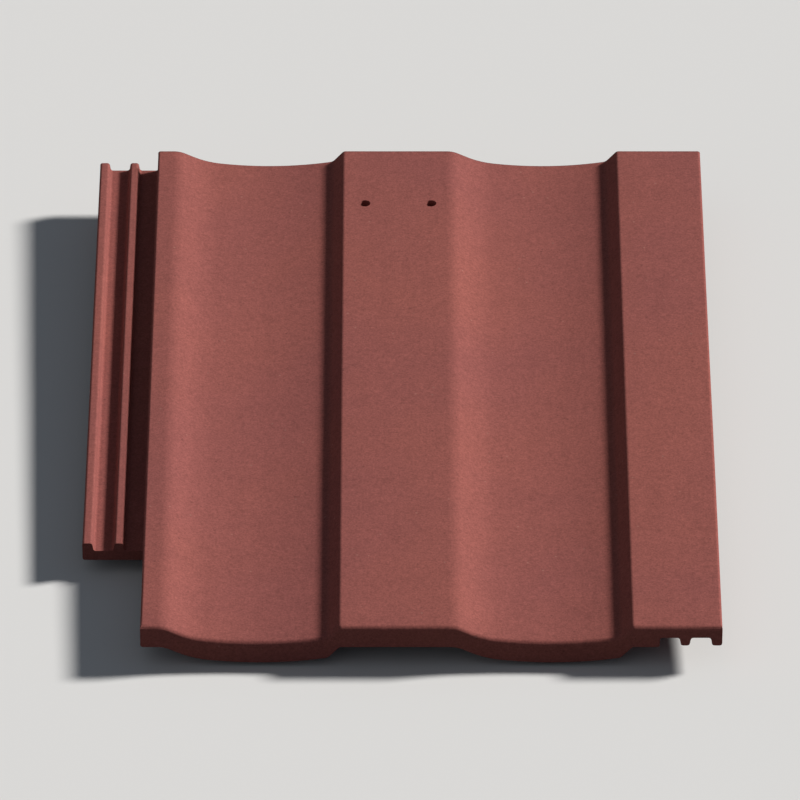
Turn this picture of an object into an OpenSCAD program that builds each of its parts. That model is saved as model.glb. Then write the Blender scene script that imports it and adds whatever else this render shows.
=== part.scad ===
// Interlocking clay roof tile with flat-topped rolls, drawn as it lies unheld on a level floor.
// The section is drawn in the tile's own plane: X across the roof from the left joint, Y up the slope,
// Z square to the tile, with Z = 0 on the roll tops.
// The finished tile is then laid on its nibs and its first bar.

/* [Cover] */
// Length of the tile from tail to head
tile_length = 420; // [380:1:460]
// Width of roof that one tile covers
cover_width = 300; // [284:1:330]
// Length of the tail that lies on the course below
head_lap = 75; // [65:1:110]
// Room between the cut end of the underlock and the course below
lap_clearance = 5; // [2:1:10]
// Open joint between two neighbours
joint_gap = 2; // [1:0.5:4]

/* [Profile] */
// Number of rolls across the cover width
roll_count = 2; // [2:1:3]
// Width of a roll's flat top, both sides of a joint together
roll_flat = 60; // [56:1:66]
// Width of the flat top that the tile keeps to the right of the joint
left_flat = 12; // [8:1:15]
// Run of the sloping flank on the right of a roll
flank_run = 14; // [10:1:22]
// Run of the steep riser on the left of a roll
riser_run = 6; // [3:0.5:10]
// Drop from a roll's top to the edges of a pan
pan_drop = 7; // [6.5:0.5:12]
// Sag of a pan's arc below its edges
pan_sag = 3; // [1:0.5:6]
// Thickness of the clay, square to the tile
tile_thickness = 13; // [12:0.5:18]

/* [Rounding] */
// Radius where a roll's top turns into its flank
flank_top_radius = 14; // [4:1:18]
// Radius where the flank runs out into the pan
flank_foot_radius = 46; // [10:1:49]
// Radius where the pan turns up into the riser
riser_foot_radius = 4; // [1:0.5:6]
// Radius along the left edge of a roll's top
riser_top_radius = 2.5; // [0.5:0.5:4]
// Radius of the small edges on the locks, bars and nibs
edge_radius = 1.5; // [0.5:0.25:2]
// Radius along the top of the tail
tail_radius = 3; // [1:0.5:5]

/* [Side lock] */
// Number of ribs on the underlock, and of ribs on the overlock
lock_count = 2; // [1:1:2]
// Width of a lock rib at its root
lock_rib = 6; // [4:0.5:6.5]
// Height of a lock rib
lock_depth = 5; // [3:0.5:7]
// Slope of each side of a lock rib, as the width it loses towards its tip
lock_draft = 0.8; // [0.2:0.1:1.2]
// Side clearance between the ribs of two neighbours
lock_clearance = 2; // [1:0.5:2.5]
// Height clearance between the ribs of one tile and the other tile
lock_rise = 1; // [0.5:0.5:2]
// Thickness of the overlock above its ribs
overlock_plate = 7; // [6:0.5:9]
// Thickness of the underlock below its ribs
underlock_floor = 6; // [5:0.5:9]

/* [Weather bars] */
// Number of bars across the underside of the tail
bar_count = 2; // [1:1:3]
// Distance from the tail to the first bar
bar_setback = 6; // [2:1:12]
// Depth of a bar below the underside
bar_depth = 3; // [1.5:0.5:5]
// Length of a bar along the slope
bar_run = 10; // [8:1:18]
// Distance from the start of one bar to the start of the next
bar_spacing = 42; // [25:1:55]

/* [Nibs and nail holes] */
// Width of a nib at its tip
nib_width = 36; // [24:1:44]
// Depth of a nib below the pan that carries it
nib_depth = 14; // [8:0.5:20]
// Length of a nib along the slope, at its root
nib_root = 20; // [17:1:26]
// Length of a nib along the slope, at its tip
nib_tip = 11; // [8:1:15]
// Slope of each side of a nib, as the width it loses towards its tip
nib_draft = 2; // [0.5:0.5:4]
// Distance from the head to the faces of the nibs that hang on the batten
nib_setback = 34; // [28:1:50]
// Diameter of a nail hole
nail_hole = 5.5; // [4:0.5:8]
// Distance between the two nail holes
nail_spacing = 36; // [24:1:44]
// Distance from the nibs' hanging faces down the slope to the nail holes
nail_offset = 15; // [10:1:30]

/* [Hidden] */
clay_colour = [0.55, 0.33, 0.30];
arc_steps = 5;
pan_steps = 12;
tail_steps = 3;
hole_facets = 48;
// Length by which a cutting shape runs past what it cuts
overrun = 5;
// Sideways step from one wedge of the tail to the next, so that no four faces meet in one point
wedge_step = 0.05;

// Widths across the tile
roll_pitch = cover_width / roll_count;
pan_width = roll_pitch - roll_flat - flank_run - riser_run;
pan_start = left_flat + flank_run;
web_end = pan_start + pan_width / 4;
right_edge = cover_width - joint_gap;
rib_groove = lock_rib + 2 * lock_clearance;
first_channel = joint_gap + lock_rib + lock_clearance;
underlock_width = first_channel + lock_rib + (lock_count - 1) * (rib_groove + lock_rib);
overlock_start = right_edge - lock_count * (lock_rib + rib_groove);

// Heights below the roll tops
pan_depth = pan_drop + pan_sag;
pan_underside = pan_depth + tile_thickness;
half_thickness = tile_thickness / 2;
overlock_tip = overlock_plate + lock_depth;
underlock_tip = overlock_plate + lock_rise;
channel_depth = underlock_tip + lock_depth;
underlock_underside = channel_depth + underlock_floor;
nib_underside = pan_underside + nib_depth;

// Places along the slope
tail = -tile_length / 2;
head = tile_length / 2;
underlock_start = tail + head_lap + lap_clearance;
nib_face = head - nib_setback;
nail_line = nib_face - nail_offset;

// The pan's arc, through its two edges and its lowest line, with its centre seen from the flank's top
pan_radius = (pow(pan_width / 2, 2) + pow(pan_sag, 2)) / (2 * pan_sag);
pan_half_angle = asin(pan_width / 2 / pan_radius);
pan_centre = [flank_run + pan_width / 2, pan_radius - pan_depth];

// The flank's foot, an arc that touches the flank and the pan's arc; it may take half of the flank
flank_slope = atan2(pan_drop, flank_run);
flank_length = norm([flank_run, pan_drop]);
flank_way = [cos(flank_slope), -sin(flank_slope)];
flank_square = [sin(flank_slope), cos(flank_slope)];
// Depth to which the flank's line cuts into the full circle of the pan's arc
pan_cut = pan_radius - pan_centre * flank_square;
// Distance from the middle of the flank to the centre of the pan's arc
mid_flank = norm(flank_way * flank_length / 2 - pan_centre);
// Radius of the foot that would start at the middle of the flank
largest_foot = (pow(pan_radius, 2) - pow(mid_flank, 2)) / (2 * pan_cut);
foot_radius = max(0, min(flank_foot_radius, largest_foot));
foot_steps = foot_radius > 0 ? arc_steps : 0;
foot_start = foot_radius > 0
    ? pan_centre * flank_way + sqrt(pan_cut * (2 * (pan_radius - foot_radius) - pan_cut))
    : flank_length;
foot_centre = flank_way * foot_start + flank_square * foot_radius;
// Slope at which the foot runs into the pan's arc
foot_end = atan2(foot_centre.x - pan_centre.x, pan_centre.y - foot_centre.y);

// How the tile lies: the first bar's lower edge and the nibs' lower edges touch the floor
rest_line = tail + bar_setback;
rest_tilt = atan((nib_depth - bar_depth) / (nib_face + edge_radius - rest_line));
floor_level = rest_line * sin(rest_tilt) - (pan_underside + bar_depth) * cos(rest_tilt);
tail_face_top = tail_radius * (1 - tan(45 / (tail_steps + 1)));
tail_reach = tail * cos(rest_tilt) + tail_face_top * sin(rest_tilt);
head_reach = head * cos(rest_tilt) + pan_underside * sin(rest_tilt);
middle_across = (right_edge - underlock_width) / 2;
middle_along = (tail_reach + head_reach) / 2;

function unit(v) = v / norm(v);

// Points of one rounded corner, whose radius is limited by the two walls that meet there
function rounded_corner(before, corner, after, radius) =
    let (
        to_before = unit(before - corner),
        to_after = unit(after - corner),
        half_angle = acos(to_before * to_after) / 2,
        shortest = min(norm(before - corner), norm(after - corner)),
        tangent = min(radius / tan(half_angle), 0.45 * shortest),
        arc_radius = tangent * tan(half_angle),
        centre = corner + unit(to_before + to_after) * arc_radius / sin(half_angle),
        first = corner + to_before * tangent - centre,
        last = corner + to_after * tangent - centre,
        start = atan2(first.y, first.x),
        turn = (atan2(last.y, last.x) - start + 540) % 360 - 180
    )
    [for (i = [0 : arc_steps])
        let (angle = start + turn * i / arc_steps)
        centre + arc_radius * [cos(angle), sin(angle)]];

// A closed outline from corners given as [x, z, radius]
function rounded(corners) =
    let (count = len(corners), points = [for (c = corners) [c[0], c[1]]])
    [for (i = [0 : count - 1])
        each corners[i][2] == 0
            ? [points[i]]
            : rounded_corner(
                points[(i + count - 1) % count], points[i], points[(i + 1) % count], corners[i][2])];

function reversed(list) = [for (i = [len(list) - 1 : -1 : 0]) list[i]];

// The point of a hanging arc at which it slopes by an angle, as a corner that isn't rounded
function hanging(centre, radius, slope) =
    [centre.x + radius * sin(slope), centre.y - radius * cos(slope), 0];

// Corners of the flank, pan and riser of one bay, lowered by drop
function bay(index, drop) =
    let (top = [left_flat + index * roll_pitch, -drop])
    [
        [top.x, top.y, flank_top_radius],
        for (i = [0 : foot_steps])
            hanging(top + foot_centre, foot_radius, (foot_end + flank_slope) * i / arc_steps - flank_slope),
        for (i = [1 : pan_steps - 1])
            hanging(top + pan_centre, pan_radius, foot_end + (pan_half_angle - foot_end) * i / pan_steps),
        [top.x + flank_run + pan_width, top.y - pan_drop, riser_foot_radius],
        [top.x + roll_pitch - roll_flat, top.y, riser_top_radius]
    ];

// Corners of all the bays from left to right, lowered by drop
function bays(drop) = [for (i = [0 : roll_count - 1]) each bay(i, drop)];

// Corners of the overlock's underside, from the right edge inwards
function overlock_corners() = [
    for (i = [0 : lock_count - 1])
        let (right = right_edge - i * (lock_rib + rib_groove), left = right - lock_rib)
        each [
            [right - (i == 0 ? 0 : lock_draft), -overlock_tip, edge_radius],
            [left + lock_draft, -overlock_tip, edge_radius],
            [left, -overlock_plate, edge_radius],
            [left - rib_groove, -overlock_plate, edge_radius]
        ],
    [overlock_start, -tile_thickness, edge_radius]
];

// Corners of the underlock's ribs and channels, from the outer edge to the wall of the joint
function underlock_corners() = [
    for (i = [lock_count - 1 : -1 : 0])
        let (right = -first_channel - i * (lock_rib + rib_groove), left = right - lock_rib)
        each [
            if (i < lock_count - 1) [left, -channel_depth, edge_radius],
            [left + (i < lock_count - 1 ? lock_draft : 0), -underlock_tip, edge_radius],
            [right - lock_draft, -underlock_tip, edge_radius],
            [right, -channel_depth, edge_radius]
        ],
    [0, -channel_depth, edge_radius]
];

// A shape drawn in X and Z, run along the slope
module along_slope(from, to) {
    translate([0, to, 0]) rotate([90, 0, 0]) linear_extrude(height = to - from) children();
}

// A shape drawn in Y and Z, run across the tile
module across_tile(from, to) {
    translate([from, 0, 0]) rotate([90, 0, 90]) linear_extrude(height = to - from) children();
}

// Section of the rolls, pans and overlock
module body_section() {
    polygon(rounded([
        [0, 0, edge_radius],
        each bays(0),
        [right_edge, 0, edge_radius],
        each overlock_corners(),
        each reversed(bays(tile_thickness)),
        [0, -tile_thickness, edge_radius]
    ]));
}

// Section of the underlock and of the web that ties it to the first flank
module underlock_section() {
    polygon(rounded([
        each underlock_corners(),
        [0, -half_thickness, 0],
        [left_flat, -half_thickness, 0],
        [pan_start, -pan_drop - half_thickness, 0],
        [web_end, -pan_drop - half_thickness, 0],
        [web_end, -underlock_underside, 0],
        [-underlock_width, -underlock_underside, edge_radius]
    ]));
}

// Section of a weather bar, which follows the underside
module bar_section() {
    bar_underside = tile_thickness + bar_depth;
    polygon(rounded([
        [0, -half_thickness, 0],
        each bays(half_thickness),
        [overlock_start, -half_thickness, 0],
        [overlock_start, -bar_underside, edge_radius],
        each reversed(bays(bar_underside)),
        [0, -bar_underside, edge_radius]
    ]));
}

module weather_bars() {
    for (i = [0 : bar_count - 1]) {
        start = tail + bar_setback + i * bar_spacing;
        along_slope(start, start + bar_run) bar_section();
    }
}

// One hanging nib under the middle of a pan, tapered to its tip and sloped on its head side
module nib(middle) {
    nib_top = pan_depth + half_thickness;
    root_half = nib_width / 2 + nib_draft;
    tip_half = nib_width / 2;
    intersection() {
        across_tile(middle - root_half, middle + root_half)
            polygon(rounded([
                [nib_face, -nib_top, 0],
                [nib_face + nib_root, -nib_top, 0],
                [nib_face + nib_root, -pan_underside, 0],
                [nib_face + nib_tip, -nib_underside, edge_radius],
                [nib_face, -nib_underside, edge_radius]
            ]));
        along_slope(nib_face, nib_face + nib_root)
            polygon(rounded([
                [middle - root_half, -nib_top, 0],
                [middle + root_half, -nib_top, 0],
                [middle + root_half, -pan_underside, 0],
                [middle + tip_half, -nib_underside, edge_radius],
                [middle - tip_half, -nib_underside, edge_radius],
                [middle - root_half, -pan_underside, 0]
            ]));
    }
}

// A nib under the first pan and one under the last
module nibs() {
    for (bay_index = [0, roll_count - 1]) {
        nib(pan_start + bay_index * roll_pitch + pan_width / 2);
    }
}

// Nail holes through the flat top of the first whole roll
module nail_holes() {
    roll_middle = left_flat + roll_pitch - roll_flat / 2;
    for (side = [-1, 1]) {
        translate([roll_middle + side * nail_spacing / 2, nail_line, -tile_thickness - overrun])
            cylinder(d = nail_hole, h = tile_thickness + 2 * overrun, $fn = hole_facets);
    }
}

// Wedges that round the top edge of the tail, each a flat tangent to the round, following rolls and pans
module tail_round_cut() {
    top_line = rounded([
        [-overrun, 0, 0],
        each bays(0),
        [right_edge + overrun, 0, 0],
        [right_edge + overrun, pan_depth, 0],
        [-overrun, pan_depth, 0]
    ]);
    for (i = [1 : tail_steps]) {
        slope = 90 * i / (tail_steps + 1);
        reach = tail_radius * (1 - tan(slope / 2));
        translate([i * wedge_step, tail + reach, 0]) rotate([slope - 90, 0, 0])
            linear_extrude(height = 4 * (pan_depth + overrun), center = true)
                polygon([for (p = top_line) [p.x, -p.y * cos(slope)]]);
    }
}

module roof_tile() {
    color(clay_colour)
        translate([-middle_across, -middle_along, -floor_level]) rotate([rest_tilt, 0, 0])
            difference() {
                union() {
                    along_slope(tail, head) body_section();
                    along_slope(underlock_start, head) underlock_section();
                    weather_bars();
                    nibs();
                }
                nail_holes();
                tail_round_cut();
            }
}

roof_tile();
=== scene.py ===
from collections import namedtuple
from math import cos, pi, radians, sin

import bmesh
import bpy
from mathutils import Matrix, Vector, noise


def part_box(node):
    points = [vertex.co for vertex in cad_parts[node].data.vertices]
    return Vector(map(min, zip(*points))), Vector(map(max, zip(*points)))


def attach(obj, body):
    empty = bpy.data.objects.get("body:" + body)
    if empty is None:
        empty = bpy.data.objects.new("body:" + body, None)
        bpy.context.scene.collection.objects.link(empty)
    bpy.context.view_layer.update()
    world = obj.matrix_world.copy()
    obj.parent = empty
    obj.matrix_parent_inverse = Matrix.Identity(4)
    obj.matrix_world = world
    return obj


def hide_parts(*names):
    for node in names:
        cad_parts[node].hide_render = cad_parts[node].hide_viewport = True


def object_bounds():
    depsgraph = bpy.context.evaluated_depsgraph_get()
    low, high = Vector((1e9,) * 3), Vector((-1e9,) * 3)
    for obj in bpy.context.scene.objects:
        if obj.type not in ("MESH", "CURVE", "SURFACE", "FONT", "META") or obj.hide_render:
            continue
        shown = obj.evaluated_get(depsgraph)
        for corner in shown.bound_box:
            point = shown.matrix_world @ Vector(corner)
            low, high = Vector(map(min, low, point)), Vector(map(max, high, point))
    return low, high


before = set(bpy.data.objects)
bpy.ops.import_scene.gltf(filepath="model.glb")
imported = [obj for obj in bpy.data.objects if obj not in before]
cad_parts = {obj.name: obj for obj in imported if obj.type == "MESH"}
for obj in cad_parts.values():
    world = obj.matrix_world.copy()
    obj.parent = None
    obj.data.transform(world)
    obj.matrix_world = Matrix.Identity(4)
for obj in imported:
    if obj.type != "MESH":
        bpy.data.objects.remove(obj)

cad_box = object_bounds()
MM = 0.001

# Points closer than this are joined, and faces that turn by less than this become one
WELD = 0.08 * MM
FLAT_WITHIN = radians(0.4)
# Edges that turn by more than this are rounded off: how far, in how many steps, and how full the round is
SHARP_FROM = radians(28)
EDGE_ROUND = 0.7 * MM
EDGE_STEPS = 2
EDGE_PROFILE = 0.5
# Size of the cells that the wide faces are cut into
GRID = 10 * MM
# Depth and width of the slight hollows that pressing and firing leave
HOLLOWS = ((0.16 * MM, 85 * MM), (0.05 * MM, 22 * MM))
# Shading runs on smoothly over edges that turn by less than this
SMOOTH_BELOW = radians(40)

# Fired clay, in linear light
CLAY = (0.256, 0.077, 0.064)
CLAY_WARM = (0.276, 0.083, 0.063)
CLAY_DUSKY = (0.232, 0.071, 0.062)
CLAY_SPECK = (0.110, 0.034, 0.029)
CLAY_FLECK = (0.390, 0.180, 0.140)

# Middle of the noise's range from 0 to 1
MIDDLE = 0.5
# Clouds left by firing: their size, detail and reach round the noise's middle, and the plain clay mixed in
CLOUD_SIZE = 95 * MM
CLOUD_DETAIL = 3.0
CLOUD_REACH = 0.18
PLAIN_SHARE = 0.45
# Scale of the noise for streaks and lines that the die draws out along the tile
DRAWN_OUT = (1.0, 0.03, 1.0)

# Noise that lightens and darkens the clay: reach is round the noise's middle, swing round a tone of 1
Tone = namedtuple("Tone", "size detail roughness reach swing")
STREAKS = Tone(9 * MM, 2.0, 0.5, 0.2, 0.02)
MOTTLE = Tone(16 * MM, 4.0, 0.6, 0.2, 0.04)
SANDING = Tone(3 * MM, 5.0, 0.75, 0.2, 0.12)
GRAIN = Tone(1.1 * MM, 4.0, 0.7, 0.25, 0.28)

# Specks: their spacing, and the shares of it at which a speck starts to fade and ends
SPECK_SPACING = 6 * MM
SPECK_FADE = (0.07, 0.12)
# Dark specks and pale flecks: the channel that picks them, from which value, their strength and colour
SPECK_KINDS = (("Red", 0.70, 0.5, CLAY_SPECK), ("Green", 0.78, 0.4, CLAY_FLECK))
PICK_FADE = 0.05

# Relief of the skin: noise, and the share of the bump's depth that it takes
Relief = namedtuple("Relief", "size detail roughness share")
SAND = Relief(0.7 * MM, 3.0, 0.7, 0.55)
DIMPLES = Relief(4.5 * MM, 3.0, 0.5, 0.8)
DIE_LINES = Relief(2.2 * MM, 2.0, 0.5, 0.15)
BUMP_STRENGTH = 0.7
BUMP_DEPTH = 0.2 * MM

# Matt finish: roughness of the darkest grains and of the palest ones, and the level of gloss
ROUGH_DARK = 0.98
ROUGH_PALE = 0.86
GLOSS = 0.16

# Camera at the photograph's viewing angle: square to the tail, low over the tile's plane
CAMERA_ELEVATION = radians(35.4)
CAMERA_DISTANCE = 4.6
# Width of the view at the tile's middle, and the sensor's width in millimetres
VIEW_WIDTH = 0.425
SENSOR = 36

# Light: the share that a level surface gets from each far lamp, the way to it, and the angle that it fills
KEY_SHARE = 0.88
KEY_WAY = Vector((1.45, 0.45, 1.0))
KEY_SPREAD = radians(10)
FILL_SHARE = 0.04
FILL_WAY = Vector((-0.9, -1.0, 1.2))
FILL_SPREAD = radians(80)
WORLD_LIGHT = (0.064, 0.080, 0.104)

# The pale floor: its size, its colour as seen, and its colour for the light that bounces off it
FLOOR_SIZE = 60
FLOOR_SEEN = (0.71, 0.69, 0.66)
FLOOR_BOUNCE = (0.16, 0.155, 0.15)

# Sockets of the Mix node: its factor, its two colours, and the mixed colour that it gives
MIX_FACTOR = 0
MIX_FIRST = 6
MIX_SECOND = 7
MIX_RESULT = 2


class Nodes:
    """A short way to add nodes to one tree and link them."""

    def __init__(self, tree):
        self.tree = tree
        tree.nodes.clear()

    def feed(self, socket, value):
        """Links another node's output to a socket, or sets the socket's own value."""
        if isinstance(value, bpy.types.NodeSocket):
            self.tree.links.new(value, socket)
        elif socket.type == "RGBA":
            socket.default_value = (*value, 1.0)
        else:
            socket.default_value = value

    def add(self, kind, inputs=None, **settings):
        node = self.tree.nodes.new(kind)
        for name, value in settings.items():
            setattr(node, name, value)
        for name, value in (inputs or {}).items():
            self.feed(node.inputs[name], value)
        return node

    def math(self, operation, first, second):
        return self.add("ShaderNodeMath", {0: first, 1: second}, operation=operation).outputs[0]

    def noise(self, place, size, detail, roughness=0.5):
        """Noise from 0 to 1 whose blotches are about size metres across."""
        inputs = {"Vector": place, "Scale": 1 / size, "Detail": detail, "Roughness": roughness}
        return self.add("ShaderNodeTexNoise", inputs).outputs["Fac"]

    def remap(self, value, low, high, to_low=0.0, to_high=1.0):
        inputs = {"Value": value, "From Min": low, "From Max": high, "To Min": to_low, "To Max": to_high}
        return self.add("ShaderNodeMapRange", inputs).outputs[0]

    def mix(self, factor, first, second, blend="MIX"):
        inputs = {MIX_FACTOR: factor, MIX_FIRST: first, MIX_SECOND: second}
        return self.add("ShaderNodeMix", inputs, data_type="RGBA", blend_type=blend).outputs[MIX_RESULT]


def tone(nodes, place, layer):
    """Noise that swings round 1, to lighten and darken a colour."""
    value = nodes.noise(place, layer.size, layer.detail, layer.roughness)
    return nodes.remap(value, MIDDLE - layer.reach, MIDDLE + layer.reach, 1 - layer.swing, 1 + layer.swing)


def relief(nodes, place, layer):
    """Noise that takes its share of the bump's depth."""
    value = nodes.noise(place, layer.size, layer.detail, layer.roughness)
    return nodes.math("MULTIPLY", value, layer.share)


def clouded_clay(nodes, place):
    """The clay's colour, warmer and duskier in wide soft clouds."""
    value = nodes.noise(place, CLOUD_SIZE, CLOUD_DETAIL)
    clouds = nodes.remap(value, MIDDLE - CLOUD_REACH, MIDDLE + CLOUD_REACH)
    return nodes.mix(PLAIN_SHARE, nodes.mix(clouds, CLAY_DUSKY, CLAY_WARM), CLAY)


def with_specks(nodes, place, colour):
    """A colour with small dark specks and pale flecks in it."""
    cells = nodes.add("ShaderNodeTexVoronoi", {"Vector": place, "Scale": 1 / SPECK_SPACING})
    spot = nodes.remap(cells.outputs["Distance"], *SPECK_FADE, 1.0, 0.0)
    channels = nodes.add("ShaderNodeSeparateColor", {"Color": cells.outputs["Color"]}).outputs
    for channel, picked_from, strength, tint in SPECK_KINDS:
        picked = nodes.remap(channels[channel], picked_from, picked_from + PICK_FADE)
        amount = nodes.math("MULTIPLY", nodes.math("MULTIPLY", spot, picked), strength)
        colour = nodes.mix(amount, colour, tint)
    return colour


def clay_material():
    """Matt unglazed terracotta: clouded by firing, streaked by the die, sandy, with small specks."""
    material = bpy.data.materials.new("fired_clay")
    material.use_nodes = True
    nodes = Nodes(material.node_tree)
    place = nodes.add("ShaderNodeTexCoord").outputs["Object"]
    drawn_out = nodes.add("ShaderNodeMapping", {"Vector": place, "Scale": DRAWN_OUT}).outputs[0]

    grain = tone(nodes, place, GRAIN)
    shade = grain
    for where, layer in ((drawn_out, STREAKS), (place, MOTTLE), (place, SANDING)):
        shade = nodes.math("MULTIPLY", shade, tone(nodes, where, layer))
    colour = nodes.mix(1.0, clouded_clay(nodes, place), shade, "MULTIPLY")
    colour = with_specks(nodes, place, colour)

    height = relief(nodes, place, SAND)
    for where, layer in ((place, DIMPLES), (drawn_out, DIE_LINES)):
        height = nodes.math("ADD", height, relief(nodes, where, layer))
    bump = nodes.add("ShaderNodeBump", {
        "Strength": BUMP_STRENGTH,
        "Distance": BUMP_DEPTH,
        "Height": height,
    })
    rough = nodes.remap(grain, 1 - GRAIN.swing, 1 + GRAIN.swing, ROUGH_DARK, ROUGH_PALE)
    shader = nodes.add("ShaderNodeBsdfPrincipled", {
        "Base Color": colour,
        "Roughness": rough,
        "Specular IOR Level": GLOSS,
        "Normal": bump.outputs[0],
    })
    nodes.add("ShaderNodeOutputMaterial", {"Surface": shader.outputs[0]})
    return material


def soften_edges(shape):
    """Rounds off every sharp edge of the clay a little."""
    joints = [edge for edge in shape.edges if len(edge.link_faces) == 2]
    sharp = [edge for edge in joints if edge.calc_face_angle() > SHARP_FROM]
    bmesh.ops.bevel(
        shape, geom=sharp, affect="EDGES", clamp_overlap=True,
        offset=EDGE_ROUND, offset_type="OFFSET", segments=EDGE_STEPS, profile=EDGE_PROFILE)


def crossed(face, axis, place):
    """Whether a cut at a place along an axis goes through a face that is wider than a cell."""
    along = [vertex.co[axis] for vertex in face.verts]
    return min(along) < place < max(along) and max(along) - min(along) > GRID


def cut_grid(shape, low, high):
    """Cuts the wide faces into cells, so that they can take the slight hollows."""
    for axis in (0, 1):
        count = int((high[axis] - low[axis]) / GRID)
        normal = Vector((0, 0, 0))
        normal[axis] = 1
        for step in range(1, count):
            point = low.copy()
            point[axis] += (high[axis] - low[axis]) * step / count
            wide = [face for face in shape.faces if crossed(face, axis, point[axis])]
            borders = dict.fromkeys(edge for face in wide for edge in face.edges)
            corners = dict.fromkeys(vertex for face in wide for vertex in face.verts)
            geometry = [*corners, *borders, *wide]
            bmesh.ops.bisect_plane(shape, geom=geometry, plane_co=point, plane_no=normal, dist=WELD)


def press_hollows(shape):
    """Sinks the surface by a fraction of a millimetre in soft, wide hollows."""
    shape.normal_update()
    for vertex in shape.verts:
        depth = 0
        for deepest, width in HOLLOWS:
            depth += deepest * (0.5 + 0.5 * noise.noise(vertex.co / width))
        vertex.co -= vertex.normal * depth


def put_in_order(parts, key):
    """Sorts a shape's points, edges or faces, because the cuts of the grid leave their order to chance."""
    ranks = {part: rank for rank, part in enumerate(sorted(parts, key=key))}
    parts.sort(key=ranks.get)
    parts.index_update()


def corner_indices(part):
    """The indices of an edge's or a face's points, lowest first."""
    return sorted(vertex.index for vertex in part.verts)


def fired_tile(node):
    """The tile as fired: the solid with softened edges and a slightly uneven skin."""
    shape = bmesh.new()
    shape.from_mesh(node.data)
    bmesh.ops.remove_doubles(shape, verts=shape.verts, dist=WELD)
    bmesh.ops.dissolve_limit(shape, angle_limit=FLAT_WITHIN, verts=shape.verts, edges=shape.edges)
    soften_edges(shape)
    cut_grid(shape, *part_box("roof_tile"))
    press_hollows(shape)
    put_in_order(shape.verts, lambda vertex: tuple(vertex.co))
    put_in_order(shape.edges, corner_indices)
    put_in_order(shape.faces, corner_indices)
    mesh = bpy.data.meshes.new("fired_tile")
    shape.to_mesh(mesh)
    shape.free()
    mesh.shade_smooth()
    mesh.set_sharp_from_angle(angle=SMOOTH_BELOW)
    piece = bpy.data.objects.new("fired_tile", mesh)
    bpy.context.scene.collection.objects.link(piece)
    weighted = piece.modifiers.new("even_normals", "WEIGHTED_NORMAL")
    weighted.keep_sharp = True
    return piece


def seen_or_bounced(nodes, seen, bounced):
    """One colour where the camera or a reflection sees it, and another for the light that it gives."""
    path = nodes.add("ShaderNodeLightPath").outputs
    direct = nodes.math("MAXIMUM", path["Is Camera Ray"], path["Is Glossy Ray"])
    direct = nodes.math("MAXIMUM", direct, path["Is Transmission Ray"])
    return nodes.mix(direct, bounced, seen)


def studio_floor():
    """A wide pale floor, which keeps the tile's shadow."""
    bpy.ops.mesh.primitive_plane_add(size=FLOOR_SIZE)
    floor = bpy.context.object
    floor.name = "studio_floor"
    material = bpy.data.materials.new("studio_floor")
    material.use_nodes = True
    nodes = Nodes(material.node_tree)
    colour = seen_or_bounced(nodes, FLOOR_SEEN, FLOOR_BOUNCE)
    shader = nodes.add("ShaderNodeBsdfDiffuse", {"Color": colour})
    nodes.add("ShaderNodeOutputMaterial", {"Surface": shader.outputs[0]})
    floor.data.materials.append(material)


def studio_world():
    """Dim light from all round, seen as the floor's own colour."""
    world = bpy.data.worlds.new("studio")
    bpy.context.scene.world = world
    world.use_nodes = True
    nodes = Nodes(world.node_tree)
    colour = seen_or_bounced(nodes, FLOOR_SEEN, WORLD_LIGHT)
    shader = nodes.add("ShaderNodeBackground", {"Color": colour, "Strength": 1.0})
    nodes.add("ShaderNodeOutputWorld", {"Surface": shader.outputs[0]})


def far_lamp(name, way, spread, share):
    """A soft lamp, far off, that gives a level white surface this share of its full light."""
    way = way.normalized()
    lamp = bpy.data.lights.new(name, "SUN")
    lamp.angle = spread
    lamp.energy = share * pi / way.z
    holder = bpy.data.objects.new(name, lamp)
    holder.rotation_euler = way.to_track_quat("Z", "Y").to_euler()
    bpy.context.scene.collection.objects.link(holder)


def photo_camera():
    """A camera that looks at the tile's middle from the photograph's angle."""
    low, high = cad_box
    target = (low + high) / 2
    back = Vector((0, -cos(CAMERA_ELEVATION), sin(CAMERA_ELEVATION)))
    camera = bpy.data.cameras.new("camera")
    camera.sensor_width = SENSOR
    camera.lens = SENSOR * CAMERA_DISTANCE / VIEW_WIDTH
    holder = bpy.data.objects.new("camera", camera)
    holder.location = target + back * CAMERA_DISTANCE
    holder.rotation_euler = back.to_track_quat("Z", "Y").to_euler()
    bpy.context.scene.collection.objects.link(holder)
    bpy.context.scene.camera = holder


photo_camera()
far_lamp("key", KEY_WAY, KEY_SPREAD, KEY_SHARE)
far_lamp("fill", FILL_WAY, FILL_SPREAD, FILL_SHARE)
studio_world()
studio_floor()
bpy.context.scene.view_settings.view_transform = "Standard"

tile = fired_tile(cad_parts["roof_tile"])
tile.data.materials.append(clay_material())
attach(tile, "root")
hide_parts("roof_tile")
